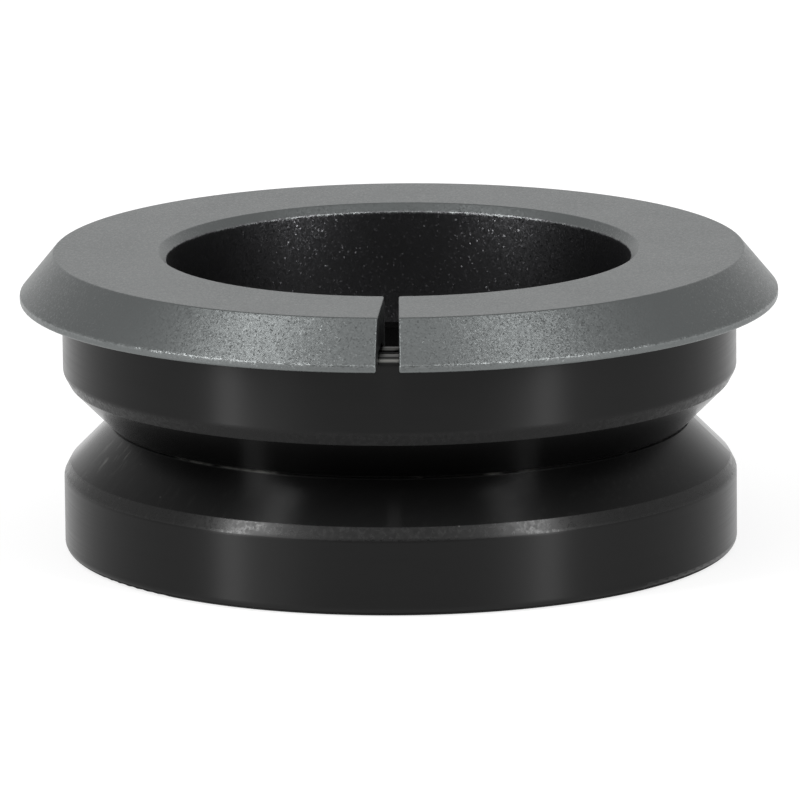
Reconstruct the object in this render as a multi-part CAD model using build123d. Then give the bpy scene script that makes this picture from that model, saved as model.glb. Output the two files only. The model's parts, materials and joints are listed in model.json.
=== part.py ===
from build123d import *
import math
import os

# Bicycle headset for an integrated head tube, in millimetres.
# A split top cap with its own compression sleeve sits on two sealed angular contact bearings,
# which are stacked narrow end to narrow end. The common axis is Z, the front is -Y, and z = 0 is
# the wide face of the lower bearing.

# Driving dimensions: radial chain from the steerer outwards
STEERER_DIAMETER = 28.6
STEERER_CLEARANCE = 0.1
SLEEVE_WALL = 0.6
PILOT_CLEARANCE = 0.1
RACE_SECTION = 5.8

# Driving dimensions: bearing, measured from its narrow face to its wide face
BEARING_HEIGHT = 8.0
BALL_DIAMETER = 3.175
BALL_COUNT = 20
BALL_RISE = 0.3
RACEWAY_CLEARANCE = 0.05
INNER_RECESS = 0.15
INNER_NARROW_WALL = 1.4
INNER_SEAT = 1.6
INNER_TOP_FACE = 0.6
OUTER_WIDE_WALL = 1.3
OUTER_NARROW_WALL = 0.75
OUTER_SHOULDER_WALL = 1.6
CORNER_FACET_WIDTH = 0.4
CORNER_FACET_HEIGHT = 0.75
CORNER_ROUND = 0.6
BEVEL_EDGE_ROUND = 0.12
NARROW_EDGE_ROUND = 0.25
WIDE_EDGE_ROUND = 0.55
INNER_EDGE_ROUND = 0.2

# Driving dimensions: seals and ball cages
SEAL_GROOVE_DEPTH = 0.35
SEAL_GROOVE_HEIGHT = 0.7
SEAL_GROOVE_COVER = 0.3
SEAL_BEAD_WIDTH = 0.4
SEAL_LIP_WIDTH = 0.25
SEAL_WEB = 0.35
SEAL_FIT = 0.05
SEAL_RUNNING_GAP = 0.12
CAGE_WALL = 0.9
CAGE_SNAP_DEPTH = 0.6
CAGE_CLEARANCE = 0.25
POCKET_CLEARANCE = 0.1

# Driving dimensions: top cap
CAP_RISE = 2.6
CAP_OVERHANG = 2.6
CAP_SLOPE_WIDTH = 2.1
RIM_DROP = 0.4
RIM_LIP = 0.45
RIM_CLEARANCE = 0.35
CAP_RUNNING_GAP = 0.3
BORE_CHAMFER = 0.5
SLEEVE_REACH = 5.0
CAP_EDGE_ROUND = 0.15
SLEEVE_EDGE_ROUND = 0.1
SLOT_ANGLE = 3.4
SLOT_DIRECTION = -91.8
SLOT_EDGE_ROUND = 0.12

# Radii that follow from the chain
cap_bore = STEERER_DIAMETER / 2 + STEERER_CLEARANCE
sleeve_radius = cap_bore + SLEEVE_WALL
race_bore = sleeve_radius + PILOT_CLEARANCE
bearing_radius = race_bore + RACE_SECTION
pitch_radius = race_bore + RACE_SECTION / 2
ball_radius = BALL_DIAMETER / 2
raceway_radius = ball_radius + RACEWAY_CLEARANCE
inner_narrow_radius = race_bore + INNER_NARROW_WALL
inner_top_radius = race_bore + INNER_SEAT + INNER_TOP_FACE
wide_lip_radius = bearing_radius - OUTER_WIDE_WALL
wide_groove_radius = wide_lip_radius + SEAL_GROOVE_DEPTH
outer_shoulder_radius = bearing_radius - OUTER_SHOULDER_WALL
narrow_lip_radius = inner_narrow_radius + SEAL_RUNNING_GAP + SEAL_LIP_WIDTH + SEAL_GROOVE_DEPTH
narrow_groove_radius = narrow_lip_radius + SEAL_GROOVE_DEPTH
narrow_radius = narrow_lip_radius + OUTER_NARROW_WALL
outer_bevel = bearing_radius - narrow_radius

# Heights in a bearing, from its narrow face at 0
ball_height = BEARING_HEIGHT / 2 + BALL_RISE
narrow_groove_low = SEAL_GROOVE_COVER
narrow_groove_high = narrow_groove_low + SEAL_GROOVE_HEIGHT
wide_groove_high = BEARING_HEIGHT - SEAL_GROOVE_COVER
wide_groove_low = wide_groove_high - SEAL_GROOVE_HEIGHT
inner_bottom = INNER_RECESS
inner_top = BEARING_HEIGHT - INNER_RECESS
bevel_height = outer_bevel - CORNER_FACET_WIDTH
wall_start = bevel_height + CORNER_FACET_HEIGHT

# Heights in the assembly
stack_plane = BEARING_HEIGHT
stack_top = 2 * BEARING_HEIGHT
cap_top = stack_top + CAP_RISE
rim_bottom = stack_top - RIM_DROP
cap_ceiling = stack_top + CAP_RUNNING_GAP
cap_radius = bearing_radius + CAP_OVERHANG

UPPER = Pos(0, 0, stack_plane)
LOWER = Pos(0, 0, stack_plane) * Rot(180, 0, 0)


def turned(outline, rounds=()):
    """Solid of revolution about Z from (radius, height) points, with the named corners rounded."""
    face = make_face(Polyline(*outline, close=True))
    for corner, radius in rounds:
        face = fillet(face.vertices().sort_by_distance((*corner, 0))[0], radius)
    return revolve(Plane.XZ * face, Axis.Z)


def raceway():
    """Ring swept by the balls, which cuts one half of the track into each race."""
    return Pos(0, 0, ball_height) * Torus(pitch_radius, raceway_radius)


def ball_places():
    """Ball centres, evenly spaced on the pitch circle."""
    step = 360 / BALL_COUNT
    return [Rot(0, 0, step * i) * Pos(pitch_radius, 0, ball_height) for i in range(BALL_COUNT)]


def outer_race():
    """Outer race: its 45 degree bevel seats in the head tube, and its deep side is under the balls.

    A steeper facet breaks the corner between the bevel and the wall.
    """
    bevel_start = (narrow_radius, 0)
    bevel_end = (bearing_radius - CORNER_FACET_WIDTH, bevel_height)
    facet_end = (bearing_radius, wall_start)
    wide_corner = (bearing_radius, BEARING_HEIGHT)
    outline = [
        (narrow_lip_radius, 0),
        bevel_start,
        bevel_end,
        facet_end,
        wide_corner,
        (wide_lip_radius, BEARING_HEIGHT),
        (wide_lip_radius, wide_groove_high),
        (wide_groove_radius, wide_groove_high),
        (wide_groove_radius, wide_groove_low),
        (outer_shoulder_radius, wide_groove_low),
        (outer_shoulder_radius, ball_height),
        (narrow_lip_radius, ball_height),
        (narrow_lip_radius, narrow_groove_high),
        (narrow_groove_radius, narrow_groove_high),
        (narrow_groove_radius, narrow_groove_low),
        (narrow_lip_radius, narrow_groove_low),
    ]
    rounds = [
        (bevel_start, NARROW_EDGE_ROUND),
        (bevel_end, BEVEL_EDGE_ROUND),
        (facet_end, CORNER_ROUND),
        (wide_corner, WIDE_EDGE_ROUND),
    ]
    return turned(outline, rounds) - raceway()


def inner_race():
    """Inner race: its 45 degree seat faces the compression cone, and its deep side is over the balls."""
    bore_corner = (race_bore, inner_bottom)
    narrow_corner = (inner_narrow_radius, inner_bottom)
    top_corner = (inner_top_radius, inner_top)
    outline = [
        bore_corner,
        narrow_corner,
        (inner_narrow_radius, ball_height),
        (inner_top_radius, ball_height),
        top_corner,
        (race_bore + INNER_SEAT, inner_top),
        (race_bore, inner_top - INNER_SEAT),
    ]
    rounds = [(corner, INNER_EDGE_ROUND) for corner in (bore_corner, narrow_corner, top_corner)]
    return turned(outline, rounds) - raceway()


def cage():
    """Crown cage: the balls snap in from below, between prongs that reach past their middle."""
    low = ball_height - CAGE_SNAP_DEPTH
    high = wide_groove_low - CAGE_CLEARANCE
    inside = pitch_radius - CAGE_WALL / 2
    outside = pitch_radius + CAGE_WALL / 2
    ring = turned([(inside, low), (outside, low), (outside, high), (inside, high)])
    pocket = Sphere(ball_radius + POCKET_CLEARANCE)
    return ring - [place * pocket for place in ball_places()]


def seal(groove_radius, groove_low, running_radius):
    """Rubber seal: a bead in the outer race's groove, a thin web and a lip beside the inner race."""
    bead_low = groove_low + SEAL_FIT
    bead_high = groove_low + SEAL_GROOVE_HEIGHT - SEAL_FIT
    bead_out = groove_radius - SEAL_FIT
    bead_in = bead_out - SEAL_BEAD_WIDTH
    lip_in = running_radius + SEAL_RUNNING_GAP
    lip_out = lip_in + SEAL_LIP_WIDTH
    web_low = (bead_low + bead_high - SEAL_WEB) / 2
    web_high = web_low + SEAL_WEB
    bead = turned([(bead_in, bead_low), (bead_out, bead_low), (bead_out, bead_high), (bead_in, bead_high)])
    web = turned([(lip_in, web_low), (bead_out, web_low), (bead_out, web_high), (lip_in, web_high)])
    lip = turned([(lip_in, bead_low), (lip_out, bead_low), (lip_out, bead_high), (lip_in, bead_high)])
    return bead + web + lip


def top_cap():
    """Top cap and compression sleeve, turned in one piece and split so that the cone can close in."""
    seat_offset = race_bore + INNER_SEAT - (stack_plane + inner_top)
    sleeve_bottom = stack_top - SLEEVE_REACH
    mouth_low = (cap_bore, cap_top - BORE_CHAMFER)
    mouth_high = (cap_bore + BORE_CHAMFER, cap_top)
    top_edge = (cap_radius - CAP_SLOPE_WIDTH, cap_top)
    rim_top = (cap_radius, rim_bottom + RIM_LIP)
    rim_low = (cap_radius, rim_bottom)
    rim_inside = bearing_radius + RIM_CLEARANCE
    sleeve_corner = (sleeve_radius, sleeve_bottom)
    outline = [
        (cap_bore, sleeve_bottom),
        mouth_low,
        mouth_high,
        top_edge,
        rim_top,
        rim_low,
        (rim_inside, rim_bottom),
        (rim_inside, cap_ceiling),
        (cap_ceiling + seat_offset, cap_ceiling),
        (sleeve_radius, sleeve_radius - seat_offset),
        sleeve_corner,
    ]
    rounds = [(corner, CAP_EDGE_ROUND) for corner in (mouth_low, mouth_high, top_edge, rim_top, rim_low)]
    rounds.append((sleeve_corner, SLEEVE_EDGE_ROUND))
    whole = turned(outline, rounds)
    reach = 2 * cap_radius
    half_width = reach * math.tan(math.radians(SLOT_ANGLE / 2))
    sector = make_face(Polyline((0, 0), (reach, -half_width), (reach, half_width), close=True))
    cutter = extrude(sector, 2 * cap_top)
    split = whole - Rot(0, 0, SLOT_DIRECTION) * cutter

    def on_outside(edge):
        middle = edge.center()
        above_ceiling = middle.Z > cap_ceiling + SLOT_EDGE_ROUND
        on_rim = math.hypot(middle.X, middle.Y) > cap_radius - CAP_EDGE_ROUND
        return above_ceiling or on_rim

    walls = split.faces().filter_by(GeomType.PLANE).filter_by(lambda face: abs(face.normal_at().Z) < 0.5)
    return fillet(walls.edges().filter_by(on_outside), SLOT_EDGE_ROUND)


def headset():
    """Every piece by name, in its place."""
    pieces = {"top_cap": top_cap()}
    bearing = {
        "outer_race": outer_race(),
        "inner_race": inner_race(),
        "cage": cage(),
        "wide_seal": seal(wide_groove_radius, wide_groove_low, inner_top_radius),
        "narrow_seal": seal(narrow_groove_radius, narrow_groove_low, inner_narrow_radius),
    }
    for number, place in enumerate(ball_places(), 1):
        bearing[f"ball_{number:02d}"] = place * Sphere(ball_radius)
    for side, location in (("upper", UPPER), ("lower", LOWER)):
        for name, solid in bearing.items():
            pieces[f"{side}_{name}"] = location * solid
    return pieces


if __name__ == "__main__":
    os.makedirs("parts", exist_ok=True)
    for name, solid in headset().items():
        export_step(solid, f"parts/{name}.step")
    print("bearing radius", round(bearing_radius, 3), "narrow radius", round(narrow_radius, 3))
    print("pitch radius", round(pitch_radius, 3), "cap radius", round(cap_radius, 3), "cap top", round(cap_top, 3))
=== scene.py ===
# %% [markdown]
# # A bicycle headset, finished for its picture
# A headset lets the fork turn in the frame of a bicycle. This one is a split top cap of blasted
# aluminium and two sealed bearings of blackened steel, stacked narrow end to narrow end. The solids
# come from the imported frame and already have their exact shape, so this lesson is about surfaces:
# it works out how each one was made in the workshop, and lets Blender's nodes repeat that.
# Everything is in metres, Z is the steering axis, and the front of the headset faces -Y.

# %% Load the frame
import json
import math
import bpy
from mathutils import Matrix, Vector

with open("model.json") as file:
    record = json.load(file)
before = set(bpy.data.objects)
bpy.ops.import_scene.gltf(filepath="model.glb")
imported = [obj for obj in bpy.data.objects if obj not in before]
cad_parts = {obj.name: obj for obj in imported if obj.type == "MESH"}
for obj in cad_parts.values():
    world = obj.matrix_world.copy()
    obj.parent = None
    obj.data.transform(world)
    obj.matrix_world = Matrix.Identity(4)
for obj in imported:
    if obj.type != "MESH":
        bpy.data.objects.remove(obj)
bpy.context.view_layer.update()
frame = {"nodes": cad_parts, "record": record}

MM = 0.001

# %% [markdown]
# ## Measure the solids first
# A finish follows the form: grinding lines run round the axis, and an edge is rubbed before a face
# is. Sizes could be typed in again, but then they would go wrong when the solids change. Every main
# piece is turned, so its vertices, written as radius and height, are its profile, and most edges can
# be read from that.

# %% Radii and heights of the edges
TOUCH = 0.01 * MM


def profile(node):
    """Radius and height of each vertex of a node."""
    return [(math.hypot(v.co.x, v.co.y), v.co.z) for v in frame["nodes"][node].data.vertices]


cap_profile = profile("top_cap")
bore_radius = min(r for r, z in cap_profile)
cap_radius = max(r for r, z in cap_profile)
mouth_height = max(z for r, z in cap_profile if r < bore_radius + TOUCH)
rim_height = max(z for r, z in cap_profile if r > cap_radius - TOUCH)

race_profile = profile("lower_outer_race")
stack_plane = max(z for r, z in race_profile)
bearing_height = stack_plane - min(z for r, z in race_profile)
bearing_radius = max(r for r, z in race_profile)
narrow_radius = max(r for r, z in race_profile if z > stack_plane - TOUCH)
wide_radius = max(r for r, z in race_profile if z < stack_plane - bearing_height + TOUCH)
print(f"the bearings meet {stack_plane / MM:.2f} mm up and are {2 * bearing_radius / MM:.1f} mm across; "
      f"the cap is {2 * cap_radius / MM:.1f} mm across with a bore of {2 * bore_radius / MM:.1f} mm")

# %% [markdown]
# ## Three small helpers
# A material is a tree of nodes. One function adds a node, fills its inputs with values or with the
# outputs of other nodes, and sets its options. Colours are written as sRGB hex codes, as on a colour
# chart, and a second function turns them into the linear numbers that a renderer adds up. The third
# gives the texture scale for a feature of a given size, because Blender counts features per metre.
# A Mix node keeps numbers and colours in sockets of their own, so those get names here too.

# %% Nodes, colours and scales
SHARE, FIRST_NUMBER, SECOND_NUMBER, FIRST_COLOUR, SECOND_COLOUR = 0, 2, 3, 6, 7
MIXED_NUMBER, MIXED_COLOUR = 0, 2
NOISE_SPAN = {"From Min": 0.3, "From Max": 0.7}  # a noise seldom leaves this range
NOISE_CORE = {"From Min": 0.4, "From Max": 0.6}  # a narrower range gives more contrast


def add(tree, kind, inputs=None, **options):
    """Adds one node, fills its inputs with values or with other sockets, and sets its options."""
    node = tree.nodes.new(kind)
    for name, value in options.items():
        setattr(node, name, value)
    for key, value in (inputs or {}).items():
        if isinstance(value, bpy.types.NodeSocket):
            tree.links.new(value, node.inputs[key])
        else:
            node.inputs[key].default_value = value
    return node


def linear(hex_code):
    """Linear colour, with full alpha, from an sRGB hex code such as "808080"."""
    channels = [int(hex_code[i:i + 2], 16) / 255 for i in (0, 2, 4)]
    return [c / 12.92 if c <= 0.04045 else ((c + 0.055) / 1.055) ** 2.4 for c in channels] + [1.0]


def per_metre(size_mm):
    """Texture scale for features of about this many millimetres."""
    return 1 / (size_mm * MM)


print("middle grey 808080 is", round(linear("808080")[0], 3), "in linear light")

# %% [markdown]
# ## Where a point is on a turned part
# On a turned part the finish depends on two numbers: how far a point is from the axis and how high
# it stands. Object coordinates give both, and since each piece keeps its place in its mesh, they are
# the same for all pieces. Two more helpers mark a range of such a number, and a thin ring, such as
# an edge, by the distance from the circle that runs along it.

# %% Radius, height and ring masks
def new_material(name):
    """A material with one shader, and the place of the point being shaded."""
    material = bpy.data.materials.new(name)
    material.use_nodes = True
    tree = material.node_tree
    tree.nodes.clear()
    shader = add(tree, "ShaderNodeBsdfPrincipled")
    add(tree, "ShaderNodeOutputMaterial", {"Surface": shader.outputs["BSDF"]})
    place = add(tree, "ShaderNodeTexCoord").outputs["Object"]
    return material, tree, shader, place


def turned_place(tree, place):
    """The coordinates X, Y and Z of a place, of which Z is the height, and its radius."""
    axes = add(tree, "ShaderNodeSeparateXYZ", {"Vector": place}).outputs
    flat = add(tree, "ShaderNodeCombineXYZ", {"X": axes["X"], "Y": axes["Y"]})
    radius = add(tree, "ShaderNodeVectorMath", {0: flat.outputs[0]}, operation="LENGTH")
    return axes, radius.outputs["Value"]


def band(tree, value, low, high, soft):
    """Mask that is 1 where the value lies between low and high, with soft borders."""
    rise = add(tree, "ShaderNodeMapRange",
               {"Value": value, "From Min": low - soft, "From Max": low + soft},
               interpolation_type="SMOOTHSTEP")
    both = add(tree, "ShaderNodeMapRange",
               {"Value": value, "From Min": high - soft, "From Max": high + soft,
                "To Min": rise.outputs[0], "To Max": 0.0},
               interpolation_type="SMOOTHSTEP")
    return both.outputs[0]


def near_ring(tree, radius, height, ring_radius, ring_height, reach):
    """Mask that is 1 on the circle of this radius and height and fades out within the reach."""
    across = add(tree, "ShaderNodeCombineXYZ", {"X": radius, "Y": height})
    gap = add(tree, "ShaderNodeVectorMath",
              {0: across.outputs[0], 1: (ring_radius, ring_height, 0.0)}, operation="DISTANCE")
    mask = add(tree, "ShaderNodeMapRange",
               {"Value": gap.outputs["Value"], "From Max": reach, "To Min": 1.0, "To Max": 0.0},
               interpolation_type="SMOOTHSTEP")
    return mask.outputs[0]


print("masks ready for the axis through the origin")

# %% [markdown]
# ## Top cap: dents from blasting
# The cap was turned, blasted with glass beads and then anodised grey. Each bead leaves a dent that
# works as a small mirror: where a lamp shines in at a slant the metal sparkles, and elsewhere it
# looks smooth and satin. A bump map blurs dents of this size and looks like leather, so each cell of
# a Voronoi pattern turns the normal its own way instead, as a tiny leaning mirror. A quarter of them
# lean farther and shine as single points, which show best in the dark bore. Rubbed edges lean most.

# %% Dents of the blasting
BEAD_DENT_MM = 0.09
GRAIN_MM = 0.14
GRAIN_DEPTH_MM = 0.004
DENT_LEAN = 0.08
POINT_LEAN = 0.33
EDGE_LEAN = 0.38
POINTS_FROM = 0.75  # a cell draws a number from 0 to 1, and becomes a point above this


def blasted_skin(tree, place, edges):
    """Normal of the dented and grainy skin, and the random numbers that each dent has drawn."""
    cells = add(tree, "ShaderNodeTexVoronoi", {"Vector": place, "Scale": per_metre(BEAD_DENT_MM)})
    draws = add(tree, "ShaderNodeSeparateColor", {"Color": cells.outputs["Color"]}).outputs
    points = add(tree, "ShaderNodeMapRange",
                 {"Value": draws["Green"], "From Min": POINTS_FROM,
                  "To Min": DENT_LEAN, "To Max": POINT_LEAN})
    amount = add(tree, "ShaderNodeMapRange",
                 {"Value": edges, "To Min": points.outputs[0], "To Max": EDGE_LEAN})
    lean = add(tree, "ShaderNodeVectorMath",
               {0: cells.outputs["Color"], 1: (0.5, 0.5, 0.5)}, operation="SUBTRACT")
    upright = add(tree, "ShaderNodeNewGeometry").outputs["Normal"]
    leaning = add(tree, "ShaderNodeVectorMath",
                  {0: lean.outputs[0], 1: amount.outputs[0], 2: upright}, operation="MULTIPLY_ADD")
    mirrors = add(tree, "ShaderNodeVectorMath", {0: leaning.outputs[0]}, operation="NORMALIZE")
    grain = add(tree, "ShaderNodeTexNoise",
                {"Vector": place, "Scale": per_metre(GRAIN_MM), "Detail": 1.0})
    skin = add(tree, "ShaderNodeBump",
               {"Height": grain.outputs["Fac"], "Strength": 1.0, "Distance": GRAIN_DEPTH_MM * MM,
                "Normal": mirrors.outputs[0]})
    return skin.outputs["Normal"], draws


print("dents of", BEAD_DENT_MM, "mm with grain of", GRAIN_MM, "mm between them")

# %% [markdown]
# ## Top cap: gloss and colour
# Anodised after blasting, the metal is satin with slow clouds, and some dents are burnished. Few
# beads reach the bore, so it stays smoother, and its grey is a touch darker as painted shade of the
# hollow. The rim and the mouth of the bore are rubbed by handling: there the grey is paler, but only
# in patches, because no hand rubs evenly, and this paler grey is partly a painted highlight along
# these edges. The band and ring masks from above put each of these in its place.

# %% Finish of the top cap
BORE_MARGIN_MM = 0.05
BORE_BORDER_MM = 0.03
# rings of the rim and bore mouth: rubbed edges, whose paler grey is partly a painted highlight
RIM_WEAR_AND_HIGHLIGHT_MM = 0.18
MOUTH_WEAR_AND_HIGHLIGHT_MM = 0.16
WEAR_AND_HIGHLIGHT_PATCH_MM = 0.6
CLOUD_MM = 4.0
SATIN_ROUGH = (0.36, 0.39)
BURNISHED_ROUGH = 0.33
BORE_ROUGH = 0.29
EDGE_ROUGH = 0.37
BURNISHED_FROM = 0.5  # dents that drew a higher number are burnished
CAP_GREY = "6d7070"
# a touch darker than the cap's grey: painted shade of the bore
BORE_SHADE_GREY = "6a6a6c"
# paler grey on the rim and the bore mouth: partly wear, partly a painted highlight
EDGE_WEAR_AND_HIGHLIGHT_GREY = "7c7f7f"


def blasted_aluminium():
    """Satin grey metal whose dents glint at a slant, with points of light and painted shade in the bore, and
    edges paler from wear and painted highlight.
    """
    material, tree, shader, place = new_material("aluminium_bead_blasted_anodised_grey")
    axes, radius = turned_place(tree, place)
    bore = band(tree, radius, 0.0, bore_radius + BORE_MARGIN_MM * MM, BORE_BORDER_MM * MM)
    rim = near_ring(tree, radius, axes["Z"], cap_radius, rim_height, RIM_WEAR_AND_HIGHLIGHT_MM * MM)
    mouth = near_ring(tree, radius, axes["Z"], bore_radius, mouth_height, MOUTH_WEAR_AND_HIGHLIGHT_MM * MM)
    edges = add(tree, "ShaderNodeMath", {0: rim, 1: mouth}, operation="MAXIMUM").outputs[0]
    normal, draws = blasted_skin(tree, place, edges)
    # Gloss
    cloud = add(tree, "ShaderNodeTexNoise", {"Vector": place, "Scale": per_metre(CLOUD_MM), "Detail": 2.0})
    satin = add(tree, "ShaderNodeMapRange",
                {"Value": cloud.outputs["Fac"], **NOISE_SPAN,
                 "To Min": SATIN_ROUGH[0], "To Max": SATIN_ROUGH[1]})
    dented = add(tree, "ShaderNodeMapRange",
                 {"Value": draws["Red"], "From Min": BURNISHED_FROM,
                  "To Min": satin.outputs[0], "To Max": BURNISHED_ROUGH})
    inner = add(tree, "ShaderNodeMix",
                {SHARE: bore, FIRST_NUMBER: dented.outputs[0], SECOND_NUMBER: BORE_ROUGH}, data_type="FLOAT")
    rough = add(tree, "ShaderNodeMix",
                {SHARE: edges, FIRST_NUMBER: inner.outputs[MIXED_NUMBER], SECOND_NUMBER: EDGE_ROUGH},
                data_type="FLOAT")
    # Colour, with painted shade in the bore and paler edges that are partly wear and partly painted highlight
    patches = add(tree, "ShaderNodeTexNoise",
                  {"Vector": place, "Scale": per_metre(WEAR_AND_HIGHLIGHT_PATCH_MM), "Detail": 2.0})
    # patches of paler grey on the edges, partly wear and partly painted highlight
    edge_wear_and_highlight = add(tree, "ShaderNodeMapRange",
               {"Value": patches.outputs["Fac"], **NOISE_CORE, "To Max": edges})
    # the bore's darker grey is painted shade
    ground = add(tree, "ShaderNodeMix",
                 {SHARE: bore, FIRST_COLOUR: linear(CAP_GREY), SECOND_COLOUR: linear(BORE_SHADE_GREY)},
                 data_type="RGBA")
    tone = add(tree, "ShaderNodeMix",
               {SHARE: edge_wear_and_highlight.outputs[0], FIRST_COLOUR: ground.outputs[MIXED_COLOUR],
                SECOND_COLOUR: linear(EDGE_WEAR_AND_HIGHLIGHT_GREY)},
               data_type="RGBA")
    shader.inputs["Metallic"].default_value = 1.0
    tree.links.new(tone.outputs[MIXED_COLOUR], shader.inputs["Base Color"])
    tree.links.new(rough.outputs[MIXED_NUMBER], shader.inputs["Roughness"])
    tree.links.new(normal, shader.inputs["Normal"])
    return material


cap_metal = blasted_aluminium()
print("made", cap_metal.name, "with", len(cap_metal.node_tree.nodes), "nodes")

# %% [markdown]
# ## Races: zones of the profile
# The races are bearing steel, hardened, ground and then blackened in hot salts. Each zone of the
# profile was worked in its own way. Both bearings are the same part, one of them upside down, so a
# zone is found by its distance from the narrow face, on which the two meet. The zones are masks in
# one material, which follow the form exactly, however the mesh is divided into triangles. The facet
# between bevel and wall runs into the wall in a curve, so its two borders are given as numbers.

# %% Zones of the races
FACET_MM = (2.53, 3.30)  # from the narrow face
BEVEL_FROM_MM = 0.1
SLOPE_BORDER_MM = 0.04
FACE_DEPTH_MM = 0.25
FACE_BORDER_MM = 0.03
FACE_EDGE_MM = 0.1


def race_zones(tree, radius, height):
    """Distance from the narrow face, and masks of the lower bearing, bevel, facet, wide end and face."""
    offset = add(tree, "ShaderNodeMath", {0: height, 1: stack_plane}, operation="SUBTRACT").outputs[0]
    from_narrow = add(tree, "ShaderNodeMath", {0: offset}, operation="ABSOLUTE").outputs[0]
    lower = add(tree, "ShaderNodeMapRange",
                {"Value": offset, "From Min": -2 * TOUCH, "From Max": 0.0, "To Min": 1.0, "To Max": 0.0})
    bevel = band(tree, from_narrow, BEVEL_FROM_MM * MM, FACET_MM[0] * MM, SLOPE_BORDER_MM * MM)
    facet = band(tree, from_narrow, FACET_MM[0] * MM, FACET_MM[1] * MM, SLOPE_BORDER_MM * MM)
    wide_from = bearing_height - FACE_DEPTH_MM * MM
    wide_end = band(tree, from_narrow, wide_from, 2 * bearing_height, FACE_BORDER_MM * MM)
    within = band(tree, radius, 0.0, wide_radius, FACE_EDGE_MM * MM)
    wide_face = add(tree, "ShaderNodeMath", {0: wide_end, 1: within}, operation="MULTIPLY")
    return from_narrow, lower.outputs[0], bevel, facet, wide_end, wide_face.outputs[0]


print("facet", FACET_MM, "mm from the narrow face of each bearing")

# %% [markdown]
# ## Races: lines from grinding
# The grinding wheel leaves fine lines round the axis, which smear every reflection up and down: a
# lamp becomes an upright stripe on the wall. Anisotropy does that, and it needs a tangent that runs
# round the axis. The lines themselves are a noise that is long round the axis and fine across it.
# The radius is added to the height there, so that bevels and flat faces get lines as well.

# %% Grinding lines
GRIND_LINE_MM = 0.12  # really about 0.02 mm, drawn coarser so that it shows
GRIND_LENGTH_MM = 9.0
RADIUS_WEIGHT = 0.6


def grinding(tree, axes, radius):
    """Direction round the axis, and the noise of the grinding lines."""
    back = add(tree, "ShaderNodeMath", {0: axes["Y"], 1: -1.0}, operation="MULTIPLY")
    around = add(tree, "ShaderNodeCombineXYZ", {"X": back.outputs[0], "Y": axes["X"]})
    tangent = add(tree, "ShaderNodeVectorTransform", {"Vector": around.outputs[0]},
                  vector_type="VECTOR", convert_from="OBJECT", convert_to="WORLD")
    slant = add(tree, "ShaderNodeMath",
                {0: radius, 1: RADIUS_WEIGHT, 2: axes["Z"]}, operation="MULTIPLY_ADD")
    slanted = add(tree, "ShaderNodeCombineXYZ", {"X": axes["X"], "Y": axes["Y"], "Z": slant.outputs[0]})
    scales = [per_metre(size) for size in (GRIND_LENGTH_MM, GRIND_LENGTH_MM, GRIND_LINE_MM)]
    stretched = add(tree, "ShaderNodeVectorMath", {0: slanted.outputs[0], 1: scales}, operation="MULTIPLY")
    lines = add(tree, "ShaderNodeTexNoise", {"Vector": stretched.outputs[0], "Scale": 1.0, "Detail": 2.0})
    return tangent.outputs[0], lines.outputs["Fac"]


print("grinding lines", GRIND_LINE_MM, "mm wide and", GRIND_LENGTH_MM, "mm long")

# %% [markdown]
# ## Races: scuffs and dust
# The lower bearing shows its handling, because its bevel faces up. It has a few short scuffs at the
# left and specks of dust. Scuffs could be drawn one by one, but noise that is drawn out along one
# direction, of which only the highest crests are left, gives a natural bundle of them. A speck is
# the middle of a Voronoi cell, and a cell draws a number that says how bright its speck is, if any.

# %% Scuffs and dust
SCUFF_PLACE_MM = (-17.7, -6.1, 7.2)  # on the lower bevel at the left
SCUFF_ALONG = Vector((0.624, 0.332, 0.707))  # up the bevel there
SCUFF_SIZE_MM = (1.3, 0.3, 0.3)
SCUFF_CREST = (0.58, 0.78)
SCUFF_NEAR_MM, SCUFF_FAR_MM = 1.0, 3.5
SCUFF_STRONG, SCUFF_FAINT = 0.4, 0.03
DUST_SPACING_MM = 1.2
DUST_DOT = (0.03, 0.06)  # in spacings, from the middle of a speck to its border
DUST_FROM = 0.4
DUST_STRONG = 0.5


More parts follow.
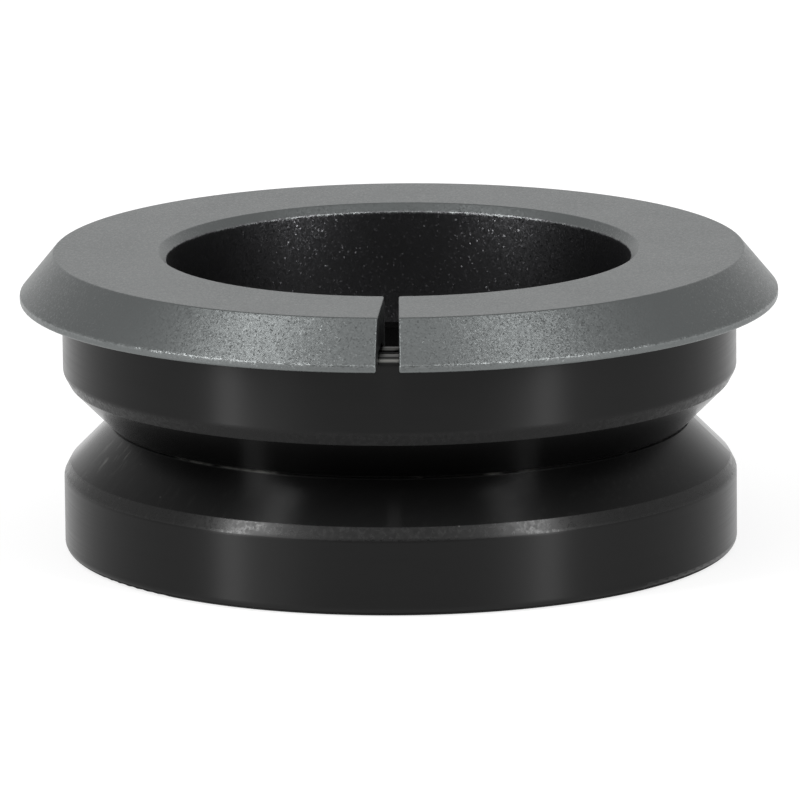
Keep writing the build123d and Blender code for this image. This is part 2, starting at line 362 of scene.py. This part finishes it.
def handling_marks(tree, place):
    """Mask of the scuffs and the specks of dust."""
    turn = add(tree, "ShaderNodeVectorRotate",
               {"Vector": place, "Rotation": SCUFF_ALONG.rotation_difference(Vector((1, 0, 0))).to_euler()},
               rotation_type="EULER_XYZ")
    scales = [per_metre(size) for size in SCUFF_SIZE_MM]
    drawn = add(tree, "ShaderNodeVectorMath", {0: turn.outputs[0], 1: scales}, operation="MULTIPLY")
    crests = add(tree, "ShaderNodeTexNoise", {"Vector": drawn.outputs[0], "Scale": 1.0, "Detail": 1.0})
    away = add(tree, "ShaderNodeVectorMath",
               {0: place, 1: [MM * size for size in SCUFF_PLACE_MM]}, operation="DISTANCE")
    patch = add(tree, "ShaderNodeMapRange",
                {"Value": away.outputs["Value"],
                 "From Min": SCUFF_NEAR_MM * MM, "From Max": SCUFF_FAR_MM * MM,
                 "To Min": SCUFF_STRONG, "To Max": SCUFF_FAINT},
                interpolation_type="SMOOTHSTEP")
    scuffs = add(tree, "ShaderNodeMapRange",
                 {"Value": crests.outputs["Fac"], "From Min": SCUFF_CREST[0], "From Max": SCUFF_CREST[1],
                  "To Max": patch.outputs[0]})
    cells = add(tree, "ShaderNodeTexVoronoi", {"Vector": place, "Scale": per_metre(DUST_SPACING_MM)})
    draws = add(tree, "ShaderNodeSeparateColor", {"Color": cells.outputs["Color"]}).outputs
    strength = add(tree, "ShaderNodeMapRange",
                   {"Value": draws["Red"], "From Min": DUST_FROM, "To Max": DUST_STRONG})
    specks = add(tree, "ShaderNodeMapRange",
                 {"Value": cells.outputs["Distance"], "From Min": DUST_DOT[0], "From Max": DUST_DOT[1],
                  "To Min": strength.outputs[0], "To Max": 0.0})
    marks = add(tree, "ShaderNodeMath", {0: scuffs.outputs[0], 1: specks.outputs[0]}, operation="MAXIMUM")
    return marks.outputs[0]


print("scuffs about", SCUFF_SIZE_MM[0], "mm long, and specks", DUST_SPACING_MM, "mm apart")

# %% [markdown]
# ## Races: rubbed edges and painted highlights
# Black oxide is a thin skin and goes first where edges touch something. The narrow edges, on which
# the bearings meet, are pale in dashes, partly where they have lost it and partly as a painted
# highlight along the edge, which lies in shade. The wide edge of the upper bearing, rubbed by fitting
# the cap, is pale in the same way, partly wear and partly a painted highlight. Both are rings, so
# the ring mask of the top cap serves again.

# %% Rubbed edges and painted highlights
# pale edge rings: partly rubbed oxide, partly a painted highlight
NARROW_WEAR_AND_HIGHLIGHT_MM = 0.16
WIDE_WEAR_AND_HIGHLIGHT_MM = 0.2
WIDE_WEAR_AND_HIGHLIGHT_INSET_MM = 0.16  # from the sharp corner to the middle of the rounded edge
DASH_MM = 3.0
DASH_CREST = (0.54, 0.66)


def edge_wear_and_highlights(tree, place, radius, height, from_narrow, lower):
    """Mask of the pale dashes along the narrow edges and of the upper bearing's wide edge, partly wear and
    partly painted highlight.
    """
    inset = WIDE_WEAR_AND_HIGHLIGHT_INSET_MM * MM
    narrow_edge = near_ring(tree, radius, height, narrow_radius, stack_plane, NARROW_WEAR_AND_HIGHLIGHT_MM * MM)
    wide_edge = near_ring(tree, radius, from_narrow, bearing_radius - inset, bearing_height - inset,
                          WIDE_WEAR_AND_HIGHLIGHT_MM * MM)
    dashes = add(tree, "ShaderNodeTexNoise", {"Vector": place, "Scale": per_metre(DASH_MM), "Detail": 3.0})
    narrow_wear_and_highlight = add(tree, "ShaderNodeMapRange",
                        {"Value": dashes.outputs["Fac"], "From Min": DASH_CREST[0], "From Max": DASH_CREST[1],
                         "To Max": narrow_edge})
    wide_wear_and_highlight = add(tree, "ShaderNodeMapRange", {"Value": lower, "To Min": wide_edge, "To Max": 0.0})
    worn_and_highlit = add(tree, "ShaderNodeMath",
                 {0: narrow_wear_and_highlight.outputs[0], 1: wide_wear_and_highlight.outputs[0]}, operation="MAXIMUM")
    return worn_and_highlit.outputs[0]


print("narrow edges rubbed in dashes of", DASH_MM, "mm")

# %% [markdown]
# ## Races: gloss and colour of the black oxide skin
# The bevels are seats and were ground finest. The facet was only turned, never ground, so it is
# mottled between smooth and dull. On the lower bearing, where it faces up, it is a lighter grey:
# painted light on the lit side. The wide faces are paler from grinding, and the foot is dull from
# standing on it. Where the skin is gone, bare steel shows, and the same pale steel paints
# highlights on the edges.
# The zones of the steps above are mixed one over the other, first for colour and then for gloss.

# %% Finish of the races
MOTTLE_MM = 0.3
LINE_DEPTH_MM = 0.003
LINE_STRENGTH = 0.2
WALL_ROUGH = (0.31, 0.35)
SEAT_ROUGH = 0.21
FACET_ROUGH = (0.24, 0.4)
FOOT_ROUGH = 0.9
SMEAR = 0.9
QUARTER_TURN = 0.25  # the smear goes across the lines
OXIDE = "2b2b2b"
# painted light: the lower bearing's facet faces up and is painted lighter than the oxide
LIT_FACET_GREY = "3a3a3a"
FACE_GREY = "5a5a58"
# pale steel for scuffs, dust, worn edges and painted edge highlights
BARE_STEEL_AND_HIGHLIGHT = "8b8b88"
EDGE_TINT = "e6e6e6"


def black_oxide_steel():
    """Near-black ground metal with upright stripes of light, a facet painted lighter where it faces up,
    scuffs, specks, and pale edges that are partly wear and partly painted highlight.
    """
    material, tree, shader, place = new_material("bearing_steel_ground_black_oxide")
    axes, radius = turned_place(tree, place)
    from_narrow, lower, bevel, facet, wide_end, wide_face = race_zones(tree, radius, axes["Z"])
    tangent, lines = grinding(tree, axes, radius)
    # Bare steel: marks on the slopes that face up, and edges that are partly rubbed and partly painted
    # highlight
    slopes = add(tree, "ShaderNodeMath", {0: bevel, 1: facet}, operation="MAXIMUM")
    facing_up = add(tree, "ShaderNodeMath", {0: slopes.outputs[0], 1: lower}, operation="MULTIPLY")
    low_marks = add(tree, "ShaderNodeMath",
                    {0: handling_marks(tree, place), 1: facing_up.outputs[0]}, operation="MULTIPLY")
    worn_and_highlit = edge_wear_and_highlights(tree, place, radius, axes["Z"], from_narrow, lower)
    bare_and_highlit = add(tree, "ShaderNodeMath", {0: low_marks.outputs[0], 1: worn_and_highlit}, operation="MAXIMUM")
    # Colour, with painted light on the lower facet, which faces up
    lit_low_facet = add(tree, "ShaderNodeMath", {0: facet, 1: lower}, operation="MULTIPLY")
    skin = add(tree, "ShaderNodeMix",
               {SHARE: lit_low_facet.outputs[0], FIRST_COLOUR: linear(OXIDE), SECOND_COLOUR: linear(LIT_FACET_GREY)},
               data_type="RGBA")
    ground = add(tree, "ShaderNodeMix",
                 {SHARE: wide_face, FIRST_COLOUR: skin.outputs[MIXED_COLOUR],
                  SECOND_COLOUR: linear(FACE_GREY)},
                 data_type="RGBA")
    tone = add(tree, "ShaderNodeMix",
               {SHARE: bare_and_highlit.outputs[0], FIRST_COLOUR: ground.outputs[MIXED_COLOUR],
                SECOND_COLOUR: linear(BARE_STEEL_AND_HIGHLIGHT)},
               data_type="RGBA")
    # Gloss
    mottle = add(tree, "ShaderNodeTexNoise",
                 {"Vector": place, "Scale": per_metre(MOTTLE_MM), "Detail": 4.0, "Roughness": 0.7})
    turned = add(tree, "ShaderNodeMapRange",
                 {"Value": mottle.outputs["Fac"], **NOISE_CORE,
                  "To Min": FACET_ROUGH[0], "To Max": FACET_ROUGH[1]})
    wall = add(tree, "ShaderNodeMapRange",
               {"Value": lines, **NOISE_SPAN, "To Min": WALL_ROUGH[0], "To Max": WALL_ROUGH[1]})
    seat = add(tree, "ShaderNodeMix",
               {SHARE: bevel, FIRST_NUMBER: wall.outputs[0], SECOND_NUMBER: SEAT_ROUGH}, data_type="FLOAT")
    slope = add(tree, "ShaderNodeMix",
                {SHARE: facet, FIRST_NUMBER: seat.outputs[MIXED_NUMBER], SECOND_NUMBER: turned.outputs[0]},
                data_type="FLOAT")
    foot = add(tree, "ShaderNodeMath", {0: wide_end, 1: lower}, operation="MULTIPLY")
    rough = add(tree, "ShaderNodeMix",
                {SHARE: foot.outputs[0], FIRST_NUMBER: slope.outputs[MIXED_NUMBER],
                 SECOND_NUMBER: FOOT_ROUGH},
                data_type="FLOAT")
    bump = add(tree, "ShaderNodeBump",
               {"Height": lines, "Strength": LINE_STRENGTH, "Distance": LINE_DEPTH_MM * MM})
    shader.inputs["Metallic"].default_value = 1.0
    shader.inputs["Anisotropic"].default_value = SMEAR
    shader.inputs["Anisotropic Rotation"].default_value = QUARTER_TURN
    shader.inputs["Specular Tint"].default_value = linear(EDGE_TINT)
    tree.links.new(tangent, shader.inputs["Tangent"])
    tree.links.new(tone.outputs[MIXED_COLOUR], shader.inputs["Base Color"])
    tree.links.new(rough.outputs[MIXED_NUMBER], shader.inputs["Roughness"])
    tree.links.new(bump.outputs["Normal"], shader.inputs["Normal"])
    return material


race_metal = black_oxide_steel()
print("made", race_metal.name, "with", len(race_metal.node_tree.nodes), "nodes")

# %% [markdown]
# ## Seals: moulded nitrile rubber
# The seals hardly show, but they are seen from below and through the slot. Nitrile rubber is moulded
# in a matt tool, which gives it a fine skin that scatters the light, and it holds a little dust. One
# fine noise makes the skin's bump and gloss, and a wider one lays the dust.

# %% Finish of the seals
RUBBER_SKIN_MM = 0.12
RUBBER_SKIN_DEPTH_MM = 0.01
RUBBER_SKIN_STRENGTH = 0.6
RUBBER_ROUGH = (0.5, 0.75)
RUBBER_IOR = 1.52
RUBBER_DUST_MM = 1.5
RUBBER_DUST_CREST = (0.5, 0.75)
RUBBER_DUST_MOST = 0.6
RUBBER_BLACK = "1c1c1d"
RUBBER_DUST = "3a3937"


def nitrile_rubber():
    """Matt black rubber: a fine moulded skin that scatters the light, with dust in patches."""
    material, tree, shader, place = new_material("nitrile_rubber_moulded_matt_black")
    skin = add(tree, "ShaderNodeTexNoise",
               {"Vector": place, "Scale": per_metre(RUBBER_SKIN_MM), "Detail": 3.0}).outputs["Fac"]
    dust = add(tree, "ShaderNodeTexNoise",
               {"Vector": place, "Scale": per_metre(RUBBER_DUST_MM), "Detail": 4.0})
    dusty = add(tree, "ShaderNodeMapRange",
                {"Value": dust.outputs["Fac"],
                 "From Min": RUBBER_DUST_CREST[0], "From Max": RUBBER_DUST_CREST[1],
                 "To Max": RUBBER_DUST_MOST})
    tone = add(tree, "ShaderNodeMix",
               {SHARE: dusty.outputs[0], FIRST_COLOUR: linear(RUBBER_BLACK),
                SECOND_COLOUR: linear(RUBBER_DUST)},
               data_type="RGBA")
    rough = add(tree, "ShaderNodeMapRange",
                {"Value": skin, "To Min": RUBBER_ROUGH[0], "To Max": RUBBER_ROUGH[1]})
    bump = add(tree, "ShaderNodeBump",
               {"Height": skin, "Strength": RUBBER_SKIN_STRENGTH, "Distance": RUBBER_SKIN_DEPTH_MM * MM})
    shader.inputs["IOR"].default_value = RUBBER_IOR
    tree.links.new(tone.outputs[MIXED_COLOUR], shader.inputs["Base Color"])
    tree.links.new(rough.outputs[0], shader.inputs["Roughness"])
    tree.links.new(bump.outputs["Normal"], shader.inputs["Normal"])
    return material


seal_rubber = nitrile_rubber()
print("made", seal_rubber.name, "with a skin of", RUBBER_SKIN_MM, "mm")

# %% [markdown]
# ## Balls: lapped chrome steel
# Balls are lapped between plates until they are mirrors, so they need no bump at all. What keeps
# them from looking too perfect is the grease: a thin film dulls and yellows them in patches.

# %% Finish of the balls
GREASE_PATCH_MM = 1.2
GREASE_CREST = (0.4, 0.65)
BALL_ROUGH = (0.06, 0.22)  # lapped, and under grease
BALL_BRIGHT = "c9cac9"
BALL_GREASE = "a8a69a"


def lapped_ball_steel():
    """Mirror-bright chrome steel, dulled in patches by a thin film of grease."""
    material, tree, shader, place = new_material("chrome_steel_lapped_and_greased")
    film = add(tree, "ShaderNodeTexNoise",
               {"Vector": place, "Scale": per_metre(GREASE_PATCH_MM), "Detail": 3.0})
    greasy = add(tree, "ShaderNodeMapRange",
                 {"Value": film.outputs["Fac"],
                  "From Min": GREASE_CREST[0], "From Max": GREASE_CREST[1]}).outputs[0]
    tone = add(tree, "ShaderNodeMix",
               {SHARE: greasy, FIRST_COLOUR: linear(BALL_BRIGHT), SECOND_COLOUR: linear(BALL_GREASE)},
               data_type="RGBA")
    rough = add(tree, "ShaderNodeMapRange",
                {"Value": greasy, "To Min": BALL_ROUGH[0], "To Max": BALL_ROUGH[1]})
    shader.inputs["Metallic"].default_value = 1.0
    tree.links.new(tone.outputs[MIXED_COLOUR], shader.inputs["Base Color"])
    tree.links.new(rough.outputs[0], shader.inputs["Roughness"])
    return material


ball_metal = lapped_ball_steel()
print("made", ball_metal.name, "with grease in patches of", GREASE_PATCH_MM, "mm")

# %% [markdown]
# ## Cages: glass-filled nylon
# The cages are moulded from brown nylon with short glass fibres, which come up to the skin as pale
# flecks and roughen it a little. One noise does for all three, colour, gloss and bump, because they
# have one cause.

# %% Finish of the cages
FIBRE_MM = 0.15
FIBRE_HEIGHT_MM = 0.008
FIBRE_STRENGTH = 0.4
FLECK_CREST = (0.55, 0.7)
NYLON_ROUGH = (0.42, 0.55)
NYLON_IOR = 1.53
NYLON_BROWN = "625a4b"
NYLON_FLECK = "85796a"


def moulded_nylon():
    """Brown nylon with a half-matt moulded skin and pale flecks of glass fibre."""
    material, tree, shader, place = new_material("nylon_glass_filled_moulded_brown")
    fibres = add(tree, "ShaderNodeTexNoise",
                 {"Vector": place, "Scale": per_metre(FIBRE_MM), "Detail": 2.0}).outputs["Fac"]
    flecks = add(tree, "ShaderNodeMapRange",
                 {"Value": fibres, "From Min": FLECK_CREST[0], "From Max": FLECK_CREST[1]}).outputs[0]
    tone = add(tree, "ShaderNodeMix",
               {SHARE: flecks, FIRST_COLOUR: linear(NYLON_BROWN), SECOND_COLOUR: linear(NYLON_FLECK)},
               data_type="RGBA")
    rough = add(tree, "ShaderNodeMapRange",
                {"Value": flecks, "To Min": NYLON_ROUGH[0], "To Max": NYLON_ROUGH[1]})
    bump = add(tree, "ShaderNodeBump",
               {"Height": fibres, "Strength": FIBRE_STRENGTH, "Distance": FIBRE_HEIGHT_MM * MM})
    shader.inputs["IOR"].default_value = NYLON_IOR
    tree.links.new(tone.outputs[MIXED_COLOUR], shader.inputs["Base Color"])
    tree.links.new(rough.outputs[0], shader.inputs["Roughness"])
    tree.links.new(bump.outputs["Normal"], shader.inputs["Normal"])
    return material


cage_nylon = moulded_nylon()
print("made", cage_nylon.name, "with flecks of", FIBRE_MM, "mm")

# %% [markdown]
# ## Give each piece its material
# The record names a material slot for each piece. Each slot has one finish, so a table from slot to
# material dresses all the pieces in one loop, and a piece with an unknown slot stops the script.

# %% From slots to finishes
finishes = {
    "blasted_aluminium": cap_metal,
    "black_race_steel": race_metal,
    "seal_rubber": seal_rubber,
    "ball_steel": ball_metal,
    "cage_plastic": cage_nylon,
}
for part in frame["record"]["subparts"]:
    frame["nodes"][part["node"]].material_slots[0].material = finishes[part["material_slot"]]

# %% [markdown]
# ## Camera
# A product photograph is taken with a long lens from a step back, so that the rings look round and
# not bulging. The camera stands on -Y, 12 degrees above the floor, and is rolled by half a degree.

# %% Camera
TARGET = Vector((0.0, 0.0, 9.0 * MM))
DISTANCE = 716.4 * MM
ELEVATION = math.radians(11.975)
ROLL = math.radians(-0.547)
LENS_MM = 519.1
SENSOR_MM = 36.0
lens = bpy.data.cameras.new("camera")
lens.sensor_width = SENSOR_MM
lens.lens = LENS_MM
lens.clip_start = 10 * MM
camera = bpy.data.objects.new("camera", lens)
bpy.context.scene.collection.objects.link(camera)
camera.location = TARGET + DISTANCE * Vector((0.0, -math.cos(ELEVATION), math.sin(ELEVATION)))
aim = (TARGET - camera.location).to_track_quat("-Z", "Y").to_matrix()
camera.rotation_euler = (aim @ Matrix.Rotation(ROLL, 3, "Z")).to_euler()
bpy.context.scene.camera = camera
print("camera", round((camera.location - TARGET).length, 3), "m from the headset")

# %% [markdown]
# ## A studio around it
# Metal shows what stands around it more than its own colour. A photo tent is white above and behind,
# and dark where the photographer stands, so the world is a ramp of greys from front to back instead
# of one grey. It is written as pairs: how far back a direction points, and how bright it is there.

# %% World
GREYS = ((-0.95, 0.15), (-0.87, 0.15), (-0.72, 1.6), (-0.4, 0.85), (-0.05, 0.52), (0.7, 0.62), (0.93, 0.82))
bpy.context.scene.view_settings.view_transform = "Standard"
world = bpy.data.worlds.new("photo_tent")
world.use_nodes = True
bpy.context.scene.world = world
tree = world.node_tree
tree.nodes.clear()
direction = add(tree, "ShaderNodeTexCoord").outputs["Generated"]
depth = add(tree, "ShaderNodeSeparateXYZ", {"Vector": direction}).outputs["Y"]
share = add(tree, "ShaderNodeMapRange", {"Value": depth, "From Min": -1.0, "From Max": 1.0})
steps = add(tree, "ShaderNodeValToRGB", {"Fac": share.outputs[0]})
ramp = steps.color_ramp
ramp.interpolation = "EASE"
for backward, level in GREYS:
    stop = ramp.elements.new((backward + 1) / 2)
    stop.color = (level, level, level, 1.0)
ramp.elements.remove(ramp.elements[0])
ramp.elements.remove(ramp.elements[-1])
sky = add(tree, "ShaderNodeBackground", {"Color": steps.outputs[0], "Strength": 1.0})
add(tree, "ShaderNodeOutputWorld", {"Surface": sky.outputs[0]})
print("world with", len(ramp.elements), "greys from front to back")

# %% [markdown]
# ## A white floor
# The picture has a pure white ground. More light would get there too, but it would bleach the metal.
# So the floor is a plain grey sheet that only looks white: it glows for rays that come straight from
# the camera, or by way of a mirror or glass, and stays grey for the light that it throws back. The
# floor in the hole of the headset sees only a third of the sky, so under the ring the glow falls to
# that, which paints the shade of the ring there.

# %% Floor
FLOOR_REACH = 3.0
FLOOR_DROP = 0.02 * MM  # so that no two faces lie in one plane
FLOOR_GREY = "a0a0a0"
FLOOR_ROUGH = 0.9
FLOOR_GLOW = 0.74
HOLE_SHADE_GLOW = 0.25
corners = [(-1, -1), (1, -1), (1, 1), (-1, 1)]
mesh = bpy.data.meshes.new("floor")
mesh.from_pydata([(FLOOR_REACH * x, FLOOR_REACH * y, -FLOOR_DROP) for x, y in corners], [], [(0, 1, 2, 3)])
floor = bpy.data.objects.new("floor", mesh)
bpy.context.scene.collection.objects.link(floor)
paper, tree, shader, place = new_material("paper_pale_matt")
radius = turned_place(tree, place)[1]
shader.inputs["Base Color"].default_value = linear(FLOOR_GREY)
shader.inputs["Roughness"].default_value = FLOOR_ROUGH
shader.inputs["Specular IOR Level"].default_value = 0.0
shader.inputs["Emission Color"].default_value = linear("ffffff")
ray = add(tree, "ShaderNodeLightPath").outputs
mirrored = add(tree, "ShaderNodeMath",
               {0: ray["Is Glossy Ray"], 1: ray["Is Transmission Ray"]}, operation="MAXIMUM")
seen = add(tree, "ShaderNodeMath", {0: ray["Is Camera Ray"], 1: mirrored.outputs[0]}, operation="MAXIMUM")
# painted shade: the glow is lower inside and under the ring
glow_with_hole_shade = add(tree, "ShaderNodeMapRange",
            {"Value": radius, "From Min": narrow_radius, "From Max": wide_radius,
             "To Min": HOLE_SHADE_GLOW, "To Max": FLOOR_GLOW})
glow = add(tree, "ShaderNodeMath", {0: seen.outputs[0], 1: glow_with_hole_shade.outputs[0]}, operation="MULTIPLY")
tree.links.new(glow.outputs[0], shader.inputs["Emission Strength"])
mesh.materials.append(paper)
print("floor", 2 * FLOOR_REACH, "m wide, marked as stage")

# %% [markdown]
# ## Two strip lamps
# Round shiny things are lit with tall, narrow softboxes, one to each side. On the walls of the
# bearings they turn into two upright stripes, and on the blasted cone into two patches of sparkle.

# %% Lamps
LAMP_DISTANCE = 1.5
LAMP_WIDTH = 0.25
LAMP_HEIGHT = 1.6
LAMP_ELEVATION = 30
LAMPS = {"lamp_left": (-60, 12.6), "lamp_right": (51, 9.4)}  # degrees from the front, and watts


def strip_lamp(name, azimuth, elevation, watts):
    """A tall rectangular lamp in this direction from the headset, turned towards it."""
    lamp = bpy.data.lights.new(name, "AREA")
    lamp.shape = "RECTANGLE"
    lamp.size = LAMP_WIDTH
    lamp.size_y = LAMP_HEIGHT
    lamp.energy = watts
    holder = bpy.data.objects.new(name, lamp)
    bpy.context.scene.collection.objects.link(holder)
    turn = math.radians(azimuth)
    rise = math.radians(elevation)
    outward = Vector((math.sin(turn) * math.cos(rise), -math.cos(turn) * math.cos(rise), math.sin(rise)))
    holder.location = TARGET + LAMP_DISTANCE * outward
    holder.rotation_euler = (-outward).to_track_quat("-Z", "Y").to_euler()


for name, (azimuth, watts) in LAMPS.items():
    strip_lamp(name, azimuth, LAMP_ELEVATION, watts)
print(len(LAMPS), "lamps", LAMP_DISTANCE, "m away")
